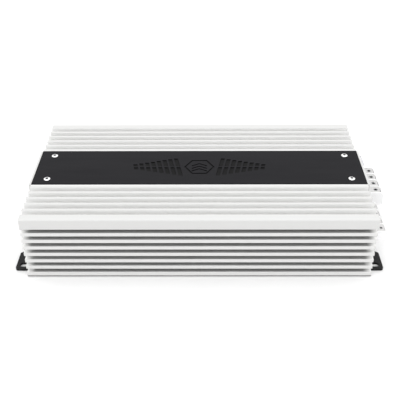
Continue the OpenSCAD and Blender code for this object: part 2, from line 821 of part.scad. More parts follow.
// Ground barrels, each with a collar where it passes the end panel
module rca_shells() {
    front = -panel_x - rca_reach;
    back = -body_l / 2 + 2.6;
    color("gold") for (y = rca_ys) translate([0, y, control_z]) difference() {
        union() {
            rod_x(rca_r, front, back);
            rod_x(rca_collar_r, -panel_x, back);
        }
        rod_x(rca_inner_r, front - cut, back + cut);
    }
}

module rca_insert(y) {
    front = -panel_x - rca_reach + 0.5;
    back = -body_l / 2 + 2.5;
    translate([0, y, control_z]) difference() {
        rod_x(rca_inner_r - 0.02, front, back);
        rod_x(rca_hole_r, front - cut, back - 2);
    }
}

module rca_white_inserts() {
    color("white") for (i = [0, 2]) rca_insert(rca_ys[i]);
}

module rca_red_inserts() {
    color("firebrick") for (i = [1, 3]) rca_insert(rca_ys[i]);
}

module rca_contacts() {
    front = -panel_x - rca_reach + 1;
    back = -body_l / 2 + 0.4;
    color("gold") for (y = rca_ys) translate([0, y, control_z]) difference() {
        rod_x(rca_hole_r - 0.02, front, back);
        rod_x(rca_hole_r - 0.2, front - cut, back - 0.5);
    }
}

module pot_bodies() {
    color([0.25, 0.3, 0.35]) for (y = knob_ys) difference() {
        union() {
            block([pot_front_x, y - pot_w / 2, pcb_top],
                [pot_front_x + pot_l, y + pot_w / 2, pcb_top + pot_h]);
            for (leg = [-1, 0, 1]) translate([pot_front_x + 3, y + leg * 2.5, pcb_z - 1])
                cylinder(r = 0.5, h = pcb_t + 1.5);
        }
        translate([0, y, control_z])
            rod_x(shaft_r + run_gap, pot_front_x - cut, pot_front_x + shaft_l + 0.6);
    }
}

// Knob on its shaft, with a marker slot across its face
module knob(i) {
    front = -panel_x - knob_reach;
    head_back = pot_front_x - 0.4;
    rim = 0.5;
    color([0.1, 0.1, 0.11]) translate([0, knob_ys[i], control_z]) difference() {
        union() {
            rod_x(shaft_r, head_back - 0.1, pot_front_x + shaft_l);
            rod_x(knob_r, front + rim, head_back);
            translate([front, 0, 0]) rotate([0, 90, 0]) cylinder(r1 = knob_r - rim, r2 = knob_r, h = rim);
        }
        block([front - cut, -0.5, 0.6], [front + 0.8, 0.5, knob_r + cut]);
    }
}

module gain_knob() { knob(0); }
module lowpass_knob() { knob(1); }
module highpass_knob() { knob(2); }
module bass_knob() { knob(3); }

module switch_bodies() {
    front = -body_l / 2 + 0.3;
    color("silver") for (y = switch_ys) difference() {
        block([front, y - switch_w / 2, pcb_top],
            [front + switch_l, y + switch_w / 2, control_z + switch_h / 2]);
        block([front - cut, y - nub_w / 2 - switch_travel - 0.5, control_z - nub_h / 2 - 0.4],
            [front + 3, y + nub_w / 2 + switch_travel + 0.5, control_z + nub_h / 2 + 0.4]);
    }
}

// Ribbed thumb nub of a slide switch
module switch_nub(y) {
    front = -panel_x - nub_reach;
    back = -body_l / 2 + 2.8;
    color([0.12, 0.12, 0.12]) difference() {
        block([front, y - nub_w / 2, control_z - nub_h / 2], [back, y + nub_w / 2, control_z + nub_h / 2]);
        for (i = [-1:1]) translate([front, y + i * 0.7, control_z])
            cube([0.7, 0.3, nub_h + cut], center = true);
    }
}

module crossover_switch() { switch_nub(switch_ys[0]); }
module input_level_switch() { switch_nub(switch_ys[1] - level_travel / 2); }

module remote_port() {
    front = -panel_x - 0.6;
    low = pcb_top + (port_h - port_mouth) / 2;
    color([0.1, 0.1, 0.1]) difference() {
        block([front, port_y0 - port_w / 2, pcb_top],
            [front + port_depth + 4, port_y0 + port_w / 2, pcb_top + port_h]);
        block([front - cut, port_y0 - port_mouth / 2, low],
            [front + port_depth, port_y0 + port_mouth / 2, low + port_mouth]);
    }
}

module status_leds() {
    front = -panel_x - 0.4;
    back = -body_l / 2 + 3;
    color([0.4, 0.6, 1, 0.8]) for (y = led_ys) translate([0, y, led_z]) {
        rod_x(led_r, front, back);
        translate([front, 0, 0]) intersection() {
            sphere(r = led_r);
            block([-led_r - cut, -led_r - cut, -led_r - cut], [0.01, led_r + cut, led_r + cut]);
        }
        for (leg = [-0.6, 0.6]) {
            block([back - 0.1, leg - 0.2, -0.2], [back + 7.4, leg + 0.2, 0.2]);
            block([back + 7, leg - 0.2, pcb_z - 1 - led_z], [back + 7.4, leg + 0.2, 0.2]);
        }
    }
}

// ---------- circuit board and power stage ----------

module main_pcb() {
    color([0.1, 0.35, 0.15]) difference() {
        block([-pcb_half_l, -pcb_half_w, pcb_z], [pcb_half_l, pcb_half_w, pcb_top]);
        at_standoffs(pcb_z - cut) cylinder(r = m3_r + screw_gap, h = pcb_t + 2 * cut);
        for (i = [0:power_cells - 1]) translate([power_in_x + 4, power_cell_y(i), pcb_z - cut])
            cylinder(r = pin_r + screw_gap, h = pcb_t + 2 * cut);
        for (i = [0:speaker_cells - 1]) translate([speaker_in_x + 3, speaker_cell_y(i), pcb_z - cut])
            cylinder(r = pin_r + screw_gap, h = pcb_t + 2 * cut);
        for (y = knob_ys, leg = [-1, 0, 1]) translate([pot_front_x + 3, y + leg * 2.5, pcb_z - cut])
            cylinder(r = 0.6, h = pcb_t + 2 * cut);
        for (y = led_ys)
            block([-body_l / 2 + 9.8, y - 1, pcb_z - cut], [-body_l / 2 + 10.6, y + 1, pcb_top + cut]);
        at_transistors() for (leg = [-1:1])
            translate([leg * 2.54, package_t / 2, pcb_z - cut]) cylinder(r = 0.6, h = pcb_t + 2 * cut);
    }
}

module pcb_standoffs() {
    color("goldenrod") at_standoffs(0) difference() {
        union() {
            translate([0, 0, sheet_t]) cylinder(r = 3.2, h = pcb_z - sheet_t, $fn = 6);
            translate([0, 0, 0.1]) cylinder(r = standoff_shank_r, h = sheet_t);
        }
        translate([0, 0, pcb_z - 8]) cylinder(r = m3_r, h = 8 + cut);
    }
}

module pcb_screws() {
    color("silver") at_standoffs(pcb_top)
        button_screw(m3_r - 0.02, m3_head_r, m3_head_h, pcb_t + 6);
}

module ring(r, hole_r, h) {
    difference() {
        cylinder(r = r, h = h);
        translate([0, 0, -cut]) cylinder(r = hole_r, h = h + 2 * cut);
    }
}

// Square wire loops wound round a ring core
module winding(r, hole_r, h, wire, count) {
    for (i = [0:count - 1]) rotate(i * 360 / count) translate([0, wire / 2, 0]) rotate([90, 0, 0])
        linear_extrude(wire) difference() {
            translate([hole_r - wire - 0.1, -wire - 0.1])
                square([r - hole_r + 2 * wire + 0.2, h + 2 * wire + 0.2]);
            translate([hole_r - 0.1, -0.1]) square([r - hole_r + 0.2, h + 0.2]);
        }
}

module at_transformers() {
    for (side = [-1, 1]) translate([transformer_x, side * transformer_y, transformer_z]) children();
}

module at_chokes() {
    for (y = choke_ys) translate([choke_x, y, pcb_top + 1.6]) children();
}

module transformer_cores() {
    color([0.2, 0.25, 0.2]) at_transformers() ring(transformer_r, transformer_hole_r, transformer_h);
}

module transformer_windings() {
    color([0.72, 0.4, 0.18]) at_transformers()
        winding(transformer_r, transformer_hole_r, transformer_h, wire_t, turns);
}

module inductor_cores() {
    color([0.75, 0.7, 0.2]) at_chokes() ring(choke_r, choke_hole_r, choke_h);
}

module inductor_windings() {
    color([0.72, 0.4, 0.18]) at_chokes() winding(choke_r, choke_hole_r, choke_h, 1.2, 16);
}

module capacitors() {
    color([0.15, 0.18, 0.3]) for (x = cap_xs, y = cap_ys) translate([x, y, pcb_top]) difference() {
        union() {
            cylinder(r = cap_r, h = cap_h - 0.8);
            translate([0, 0, cap_h - 0.8]) cylinder(r1 = cap_r, r2 = cap_r - 0.8, h = 0.8);
        }
        for (turn = [0, 90]) rotate(turn) translate([-6, -0.25, cap_h - 0.4]) cube([12, 0.5, cut]);
    }
}

// Frames at the inner lower edge of each transistor, with +Y towards the side wall
module at_transistors() {
    for (side = [-1, 1], i = [0:transistors - 1])
        translate([-transistor_span / 2 + i * transistor_pitch, side * package_y, 0])
            mirror([0, side < 0 ? 1 : 0, 0]) children();
}

module power_transistors() {
    color([0.14, 0.14, 0.14]) at_transistors() {
        block([-package_w / 2, 0, package_z], [package_w / 2, package_t, package_z + package_h]);
        for (leg = [-1:1]) translate([leg * 2.54, package_t / 2, pcb_z - 1])
            cylinder(r = 0.45, h = package_z - pcb_z + 1.5);
    }
}

module thermal_pads() {
    color("lightgray") at_transistors()
        block([-package_w / 2 - 0.5, package_t, package_z - 0.5],
            [package_w / 2 + 0.5, package_t + wall_pad_t, package_z + package_h + 0.5]);
}

module clamp_bars() {
    half = transistor_span / 2 + package_w / 2;
    color("slategray") difference() {
        for (side = [-1, 1]) {
            low_y = side > 0 ? bar_y : -bar_y - bar_t;
            block([-half, low_y, bar_z], [half, low_y + bar_t, bar_z + bar_h]);
        }
        at_bar_screws() translate([0, 0, -cut]) cylinder(r = m3_r + screw_gap, h = bar_t + 2 * cut);
    }
}

module clamp_bar_screws() {
    color("silver") at_bar_screws() rotate([180, 0, 0])
        button_screw(m3_r - 0.02, m3_head_r, m3_head_h, bar_t + package_t + wall_pad_t + 2.4);
}

module driver_board() {
    color([0.1, 0.3, 0.4]) {
        block([driver_x, -driver_w / 2, pcb_top + 1],
            [driver_x + driver_t, driver_w / 2, pcb_top + 1 + driver_h]);
        for (i = [-3:3])
            block([driver_x + driver_t - 0.1, i * 12 - 4, pcb_top + 6],
                [driver_x + driver_t + 2.4, i * 12 + 4, pcb_top + 13]);
        block([driver_x - 0.5, -driver_w / 2 + 8, pcb_top],
            [driver_x + driver_t + 0.5, driver_w / 2 - 8, pcb_top + 2]);
    }
}

heatsink();
top_plate();
top_plate_screws();
bottom_plate();
bottom_plate_screws();
left_end_panel();
right_end_panel();
end_panel_screws();
foot_front_left();
foot_front_right();
foot_rear_left();
foot_rear_right();
foot_screws();
power_terminal_housing();
power_terminal_contacts();
power_clamp_screw_1();
power_clamp_screw_2();
power_clamp_screw_3();
power_clamp_screw_4();
speaker_terminal_housing();
speaker_terminal_contacts();
speaker_clamp_screw_1();
speaker_clamp_screw_2();
speaker_clamp_screw_3();
speaker_clamp_screw_4();
fuse_holder();
fuse_clips();
lower_fuse_cap();
lower_fuse_blades();
upper_fuse_cap();
upper_fuse_blades();
rca_base();
rca_shells();
rca_white_inserts();
rca_red_inserts();
rca_contacts();
pot_bodies();
gain_knob();
lowpass_knob();
highpass_knob();
bass_knob();
switch_bodies();
crossover_switch();
input_level_switch();
remote_port();
status_leds();
main_pcb();
pcb_standoffs();
pcb_screws();
transformer_cores();
transformer_windings();
inductor_cores();
inductor_windings();
capacitors();
power_transistors();
thermal_pads();
clamp_bars();
clamp_bar_screws();
driver_board();
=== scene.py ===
import json
import math

import bmesh
import bpy
from mathutils import Matrix, Vector


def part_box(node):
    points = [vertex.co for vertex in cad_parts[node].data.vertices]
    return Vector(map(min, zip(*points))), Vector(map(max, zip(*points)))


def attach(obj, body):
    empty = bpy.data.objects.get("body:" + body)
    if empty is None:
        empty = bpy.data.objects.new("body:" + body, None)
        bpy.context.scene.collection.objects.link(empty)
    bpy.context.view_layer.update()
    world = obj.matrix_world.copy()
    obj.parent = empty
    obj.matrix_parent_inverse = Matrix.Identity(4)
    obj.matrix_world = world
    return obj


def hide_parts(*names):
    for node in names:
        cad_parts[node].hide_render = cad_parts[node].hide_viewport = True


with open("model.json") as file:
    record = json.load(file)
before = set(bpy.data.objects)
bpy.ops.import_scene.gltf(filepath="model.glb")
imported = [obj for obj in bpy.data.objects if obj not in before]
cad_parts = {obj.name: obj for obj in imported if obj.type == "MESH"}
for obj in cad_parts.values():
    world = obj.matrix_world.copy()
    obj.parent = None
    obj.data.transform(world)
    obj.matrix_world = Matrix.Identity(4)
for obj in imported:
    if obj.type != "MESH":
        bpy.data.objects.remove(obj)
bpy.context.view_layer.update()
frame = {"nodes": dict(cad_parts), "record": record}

MM = 0.001
LENS = 63.74                # focal length in mm on a 36 mm sensor
CAMERA_PLACE = (0.0052, -0.5603, 0.4016)
CAMERA_PITCH = 33.98        # degrees below level
CAMERA_YAW = -0.486
CAMERA_ROLL = -0.328
FLOOR_HALF = 6.0
FLOOR_DROP = 0.2 * MM       # keeps the floor clear of the soles of the feet
HORIZON_LIGHT = 0.85        # strength of the studio dome near the horizon
ZENITH_LIGHT = 1.8          # and overhead
OVERHEAD_WATTS = 3.8        # powers of the two soft boxes
FRONT_WATTS = 5.9
NODES = frame["nodes"]
scene = bpy.context.scene
SCREW_HEAD_R = 3 * MM       # cover plate screws
PRINT_T = 0.03 * MM         # thickness of printing on a panel or knob
MADE = {}                   # materials made so far, by slot
KNOBS = {"gain_knob": "gain_control", "lowpass_knob": "lowpass_control",
         "highpass_knob": "highpass_control", "bass_knob": "bass_control"}


# ---------- camera ----------

def add_camera():
    """Camera in front of the amplifier and above it, looking down at the cover plate."""
    data = bpy.data.cameras.new("camera")
    data.sensor_width = 36
    data.lens = LENS
    data.clip_start = 0.01
    data.clip_end = 20
    camera = bpy.data.objects.new("camera", data)
    scene.collection.objects.link(camera)
    camera.location = CAMERA_PLACE
    pitch = math.radians(CAMERA_PITCH)
    yaw = math.radians(CAMERA_YAW)
    roll = math.radians(CAMERA_ROLL)
    aim = Vector((math.sin(yaw) * math.cos(pitch), math.cos(yaw) * math.cos(pitch), -math.sin(pitch)))
    side = Vector((math.cos(yaw), -math.sin(yaw), 0))
    up = side.cross(aim)
    right = side * math.cos(roll) + up * math.sin(roll)
    top = up * math.cos(roll) - side * math.sin(roll)
    turn = Matrix((right, top, -aim)).transposed()
    camera.rotation_euler = turn.to_euler()
    scene.camera = camera


# ---------- stage ----------

def add_stage():
    """A wide white floor under the feet."""
    mesh = bpy.data.meshes.new("floor")
    corners = [(sx * FLOOR_HALF, sy * FLOOR_HALF, 0) for sx, sy in ((-1, -1), (1, -1), (1, 1), (-1, 1))]
    mesh.from_pydata(corners, [], [(0, 1, 2, 3)])
    floor = bpy.data.objects.new("floor", mesh)
    scene.collection.objects.link(floor)
    material = bpy.data.materials.new("floor_white")
    material.use_nodes = True
    shader = material.node_tree.nodes["Principled BSDF"]
    shader.inputs["Base Color"].default_value = (0.8, 0.8, 0.8, 1)
    shader.inputs["Roughness"].default_value = 0.9
    shader.inputs["Specular IOR Level"].default_value = 0.1
    mesh.materials.append(material)
    floor.location.z = -FLOOR_DROP


def add_light(name, location, target, size, power):
    """Rectangular soft box that faces its target."""
    data = bpy.data.lights.new(name, "AREA")
    data.shape = "RECTANGLE"
    data.size, data.size_y = size
    data.energy = power
    light = bpy.data.objects.new(name, data)
    scene.collection.objects.link(light)
    light.location = location
    light.rotation_euler = (Vector(target) - Vector(location)).to_track_quat("-Z", "Y").to_euler()


def add_lights():
    """A white studio dome, brightest overhead, with soft boxes above and in front."""
    world = bpy.data.worlds.new("studio")
    scene.world = world
    world.use_nodes = True
    nodes = world.node_tree.nodes
    links = world.node_tree.links
    direction = nodes.new("ShaderNodeTexCoord")
    split = nodes.new("ShaderNodeSeparateXYZ")
    strength = nodes.new("ShaderNodeMapRange")
    strength.inputs["From Min"].default_value = 0.3
    strength.inputs["From Max"].default_value = 0.9
    strength.inputs["To Min"].default_value = HORIZON_LIGHT
    strength.inputs["To Max"].default_value = ZENITH_LIGHT
    links.new(direction.outputs["Generated"], split.inputs["Vector"])
    links.new(split.outputs["Z"], strength.inputs["Value"])
    links.new(strength.outputs["Result"], nodes["Background"].inputs["Strength"])
    nodes["Background"].inputs["Color"].default_value = (1, 1, 1, 1)
    add_light("overhead", (0, -0.1, 1.6), (0, 0, 0), (2.2, 1.2), OVERHEAD_WATTS)
    add_light("front", (0, -1.6, 0.5), (0, 0, 0.03), (2.0, 0.8), FRONT_WATTS)
    scene.view_settings.view_transform = "Standard"


# ---------- materials ----------

COLOR_A, COLOR_B, COLOR_OUT = 6, 7, 2      # sockets of a Mix node when it mixes colours
FINE_GRAIN = 0.02 * MM                     # height of the surface grain of paint, metal and plastic


class Shader:
    """Short names for building one Principled material from nodes."""

    def __init__(self, name, color, roughness, metallic=0.0):
        self.material = bpy.data.materials.new(name)
        self.material.use_nodes = True
        self.tree = self.material.node_tree
        self.bsdf = self.tree.nodes["Principled BSDF"]
        self.set("Base Color", (*color, 1))
        self.set("Roughness", roughness)
        self.set("Metallic", metallic)
        self.place = self.node("ShaderNodeTexCoord").outputs["Object"]

    def node(self, kind, **settings):
        made = self.tree.nodes.new(kind)
        for key, value in settings.items():
            setattr(made, key, value)
        return made

    def set(self, socket, value):
        self.bsdf.inputs[socket].default_value = value

    def link(self, a, b):
        self.tree.links.new(a, b)

    def stretched(self, scale):
        mapping = self.node("ShaderNodeMapping")
        mapping.inputs["Scale"].default_value = scale
        self.link(self.place, mapping.inputs["Vector"])
        return mapping.outputs["Vector"]

    def noise(self, scale, detail=4.0, stretch=(1, 1, 1), rough=0.5):
        made = self.node("ShaderNodeTexNoise")
        made.inputs["Scale"].default_value = scale
        made.inputs["Detail"].default_value = detail
        made.inputs["Roughness"].default_value = rough
        self.link(self.stretched(stretch), made.inputs["Vector"])
        return made.outputs["Fac"]

    def ranged(self, source, low, high, from_low=0.0, from_high=1.0):
        made = self.node("ShaderNodeMapRange")
        made.inputs["From Min"].default_value = from_low
        made.inputs["From Max"].default_value = from_high
        made.inputs["To Min"].default_value = low
        made.inputs["To Max"].default_value = high
        self.link(source, made.inputs["Value"])
        return made.outputs["Result"]

    def feed(self, socket, value):
        """Sets a socket to a number or a colour, or links it to another socket."""
        if isinstance(value, bpy.types.NodeSocket):
            self.link(value, socket)
        elif isinstance(value, tuple):
            socket.default_value = (*value, 1)
        else:
            socket.default_value = value

    def math(self, operation, a, b=0.0):
        made = self.node("ShaderNodeMath", operation=operation)
        self.feed(made.inputs[0], a)
        self.feed(made.inputs[1], b)
        return made.outputs["Value"]

    def axes(self):
        """X, Y and Z of the shaded point, in metres in the shared frame."""
        split = self.node("ShaderNodeSeparateXYZ")
        self.link(self.place, split.inputs["Vector"])
        return [split.outputs[axis] for axis in "XYZ"]

    def within(self, source, limit, soft):
        """1 while the source is under the limit, fading to 0 over a soft edge above it."""
        return self.ranged(source, 1.0, 0.0, limit, limit + soft)

    def from_corner_axis(self, center):
        """Distance in plan from the nearest of four vertical axes placed alike in each quarter."""
        x, y, z = self.axes()
        dx = self.math("SUBTRACT", self.math("ABSOLUTE", x), center.x)
        dy = self.math("SUBTRACT", self.math("ABSOLUTE", y), center.y)
        total = self.math("ADD", self.math("MULTIPLY", dx, dx), self.math("MULTIPLY", dy, dy))
        return self.math("SQRT", total)

    def mixed(self, factor, a, b):
        mix = self.node("ShaderNodeMix", data_type="RGBA")
        self.feed(mix.inputs[COLOR_A], a)
        self.feed(mix.inputs[COLOR_B], b)
        self.feed(mix.inputs["Factor"], factor)
        return mix.outputs[COLOR_OUT]

    def vary_color(self, source, darker, lighter):
        self.link(self.mixed(source, darker, lighter), self.bsdf.inputs["Base Color"])

    def vary_roughness(self, source, low, high):
        self.link(self.ranged(source, low, high, 0.25, 0.75), self.bsdf.inputs["Roughness"])

    def bump(self, source, depth, strength=1.0):
        made = self.node("ShaderNodeBump")
        made.inputs["Strength"].default_value = strength
        made.inputs["Distance"].default_value = depth
        self.link(source, made.inputs["Height"])
        self.link(made.outputs["Normal"], self.bsdf.inputs["Normal"])


def shade(color, factor):
    """A darker or lighter shade of a colour."""
    return tuple(min(1.0, c * factor) for c in color)


def heatsink_masks(s):
    """Where each colour lies on the heatsink, painted shade and painted light among them, from 0 to 1,
    by the name of the place.
    """
    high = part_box("heatsink")[1]
    cover_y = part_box("top_plate")[1].y
    shoulder_w, shoulder_h = 8.5 * MM, 10 * MM      # the plain edge in front of the first top groove
    x, y, z = s.axes()
    off_middle = s.math("ABSOLUTE", y)
    depth = s.math("SUBTRACT", high.y, off_middle)
    to_end = s.math("SUBTRACT", high.x, s.math("ABSOLUTE", x))
    side = s.within(z, high.z - shoulder_h, 0.3 * MM)
    top = s.math("SUBTRACT", 1.0, side)
    sunk = s.math("MULTIPLY", side, s.ranged(depth, 0.0, 1.0, 0.15 * MM, 1.0 * MM))
    inward = s.ranged(to_end, 0.0, 1.0, 1.0 * MM, 7.0 * MM)
    below_tips = s.math("MULTIPLY", top, s.within(z, high.z - 0.6 * MM, 0.5 * MM))
    past_shoulder = s.ranged(depth, 0.0, 1.0, shoulder_w - 0.5 * MM, shoulder_w - 0.2 * MM)
    return {
        "side": side,
        "side_groove": s.math("MULTIPLY", sunk, inward),
        "side_groove_end": s.math("MULTIPLY", sunk, s.math("SUBTRACT", 1.0, inward)),
        "top_groove": s.math("MULTIPLY", below_tips, past_shoulder),
        "rail_edge": s.math("MULTIPLY", top, s.within(off_middle, cover_y + 1.2 * MM, 1.0 * MM)),
        "bottom_lip": s.within(z, 0.9 * MM, 0.4 * MM),
        "end_face": s.within(to_end, 0.01 * MM, 0.02 * MM),
    }


def heatsink_paint():
    """Satin silver-white paint, with painted light on the sides, in the top grooves, near the ends of
    the side grooves and beside the cover plate, and painted shade deep in the side grooves and along the
    bottom edge.
    """
    s = Shader("heatsink_paint", (0.55, 0.55, 0.545), 0.42)
    s.set("Specular IOR Level", 0.5)
    on = heatsink_masks(s)
    cloud = s.noise(14, 3, (0.3, 1, 1))
    saw_lines = s.noise(900, 2, (1, 0.04, 1))
    top_coat = s.mixed(cloud, (0.54, 0.54, 0.532), (0.56, 0.56, 0.555))
    # painted shade: a dark colour for deep in the side grooves
    painted_groove_shade = s.mixed(cloud, (0.3, 0.3, 0.296), (0.345, 0.345, 0.34))
    # painted light: a light colour for the top grooves
    painted_groove_light = s.mixed(cloud, (0.73, 0.73, 0.722), (0.75, 0.75, 0.743))
    sawn_metal = s.mixed(saw_lines, (0.5, 0.5, 0.5), (0.72, 0.72, 0.72))
    # painted light: the sides get a lighter colour than the top
    color = s.mixed(on["side"], top_coat, (0.6, 0.6, 0.592))
    # painted highlight along the rail beside the cover plate
    color = s.mixed(on["rail_edge"], color, (0.66, 0.66, 0.655))
    # painted shade deep in the side grooves, fading out near the ends
    color = s.mixed(on["side_groove"], color, painted_groove_shade)
    # painted light in the top grooves
    color = s.mixed(on["top_groove"], color, painted_groove_light)
    # painted light near the ends of the side grooves
    color = s.mixed(on["side_groove_end"], color, (0.85, 0.85, 0.84))
    # painted shadow along the bottom edge, where the body meets the floor
    color = s.mixed(on["bottom_lip"], color, (0.05, 0.05, 0.05))
    color = s.mixed(on["end_face"], color, sawn_metal)
    s.link(color, s.bsdf.inputs["Base Color"])
    s.vary_roughness(s.noise(60, 4, (0.1, 1, 1)), 0.38, 0.5)
    s.bump(s.noise(2600, 3), FINE_GRAIN, 0.25)
    return s.material


def plate_screw_axis():
    """Axis of the cover plate screw in the +X, +Y corner; the other three mirror it."""
    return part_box("top_plate_screws")[1] - Vector((SCREW_HEAD_R, SCREW_HEAD_R, 0))


def cover_black():
    """Black anodised plate, with painted shade round its screws, along its edges and in the engraving.
    """
    s = Shader("cover_black", (0.008, 0.0078, 0.009), 0.5)
    s.set("Specular IOR Level", 0.1)
    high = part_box("top_plate")[1]
    x, y, z = s.axes()
    # painted shade along the plate's edges
    edge_from, edge_full = 0.9 * MM, 0.5 * MM
    edge_x = s.ranged(s.math("ABSOLUTE", x), 0.0, 1.0, high.x - edge_from, high.x - edge_full)
    edge_y = s.ranged(s.math("ABSOLUTE", y), 0.0, 1.0, high.y - edge_from, high.y - edge_full)
    # painted shade on the floor of the engraving
    floor = s.within(z, high.z - 0.1 * MM, 0.05 * MM)
    # painted shade in a ring round each screw head
    painted_screw_shade = s.within(s.from_corner_axis(plate_screw_axis()), SCREW_HEAD_R + 0.6 * MM, 0.6 * MM)
    painted_shade = s.math("MAXIMUM", s.math("MAXIMUM", edge_x, edge_y), s.math("MAXIMUM", floor, painted_screw_shade))
    face = s.mixed(s.noise(40, 3, (0.2, 1, 1)), (0.0066, 0.0064, 0.0082), (0.008, 0.0078, 0.0096))
    s.link(s.mixed(painted_shade, face, (0.0008, 0.0008, 0.001)), s.bsdf.inputs["Base Color"])
    s.vary_roughness(s.noise(90, 4, (0.2, 1, 1)), 0.46, 0.56)
    s.bump(s.noise(3000, 2), FINE_GRAIN, 0.3)
    return s.material


def plate_screw():
    """Polished zinc head with painted shade in its hexagon socket."""
    s = Shader("plate_screw", (0.92, 0.92, 0.92), 0.25, 0.9)
    # painted shade inside the hexagon socket
    socket = s.within(s.from_corner_axis(plate_screw_axis()), 1.2 * MM, 0.25 * MM)
    s.link(s.mixed(socket, (0.92, 0.92, 0.92), (0.04, 0.04, 0.045)), s.bsdf.inputs["Base Color"])
    s.vary_roughness(s.noise(400, 3), 0.2, 0.32)
    s.bump(s.noise(1500, 3), FINE_GRAIN, 0.3)
    return s.material


def contact_plate(name, node, mounts, slope):
    """Satin nickel terminal blocks, with a painted shadow on the slope over each wire hole."""
    s = Shader(name, (0.58, 0.575, 0.57), 0.4, 0.7)
    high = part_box(node)[1]
    rows = sorted(m["pos_m"][1] for m in frame["record"]["mounts"] if m["name"].startswith(mounts))
    pitch = rows[1] - rows[0]
    half_w = pitch * 0.22                          # half of the width of one painted shadow
    x_from, x_full = high.x - 0.65 * slope, high.x - 0.45 * slope
    z_from, z_full = high.z - 1.2 * slope, high.z - 1.1 * slope
    x, y, z = s.axes()
    # painted shadow of each wire hole's mouth: a dark stripe across the slope in each cell
    along = s.math("SUBTRACT", y, rows[0] - pitch / 2)
    in_cell = s.math("SUBTRACT", s.math("MODULO", along, pitch), pitch / 2)
    painted_hole_shadow = s.within(s.math("ABSOLUTE", in_cell), half_w, 0.3 * MM)
    painted_hole_shadow = s.math("MULTIPLY", painted_hole_shadow, s.ranged(x, 0.0, 1.0, x_from, x_full))
    painted_hole_shadow = s.math("MULTIPLY", painted_hole_shadow, s.ranged(z, 0.0, 1.0, z_from, z_full))
    s.link(s.mixed(painted_hole_shadow, (0.58, 0.575, 0.57), (0.03, 0.03, 0.03)), s.bsdf.inputs["Base Color"])
    s.vary_roughness(s.noise(400, 3), 0.35, 0.45)
    s.bump(s.noise(1500, 3), FINE_GRAIN, 0.3)
    return s.material


def set_screw(name, node):
    """Bright nickel screw with painted shade in its hexagon socket, on all of it below its top."""
    s = Shader(name, (0.55, 0.55, 0.55), 0.3, 0.8)
    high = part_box(node)[1]
    z = s.axes()[2]
    # painted shade on everything lower than the top of the screw
    socket = s.within(z, high.z - 0.5 * MM, 0.4 * MM)
    s.link(s.mixed(socket, (0.55, 0.55, 0.55), (0.02, 0.02, 0.022)), s.bsdf.inputs["Base Color"])
    s.vary_roughness(s.noise(400, 3), 0.2, 0.32)
    s.bump(s.noise(1500, 3), FINE_GRAIN, 0.3)
    return s.material


def plain(name, color, roughness, metallic=0.0, grain=1500, spread=0.06, gloss=0.5):
    """One colour with slight clouds in colour and gloss, and a fine grain."""
    s = Shader(name, color, roughness, metallic)
    s.set("Specular IOR Level", gloss)
    s.vary_color(s.noise(120, 4), shade(color, 1 - spread), shade(color, 1 + spread))
    s.vary_roughness(s.noise(400, 3), max(0.02, roughness - 0.05), roughness + 0.05)
    s.bump(s.noise(grain, 3), FINE_GRAIN, 0.3)
    return s.material


def clear_plastic(name, color, roughness, transmission):
    """Clear or milky acrylic, by how much light it lets through."""
    s = Shader(name, color, roughness)
    s.set("Transmission Weight", transmission)
    s.set("IOR", 1.49)
    s.vary_roughness(s.noise(300, 3), roughness - 0.04, roughness + 0.04)
    s.bump(s.noise(700, 3), FINE_GRAIN, 0.2)
    return s.material


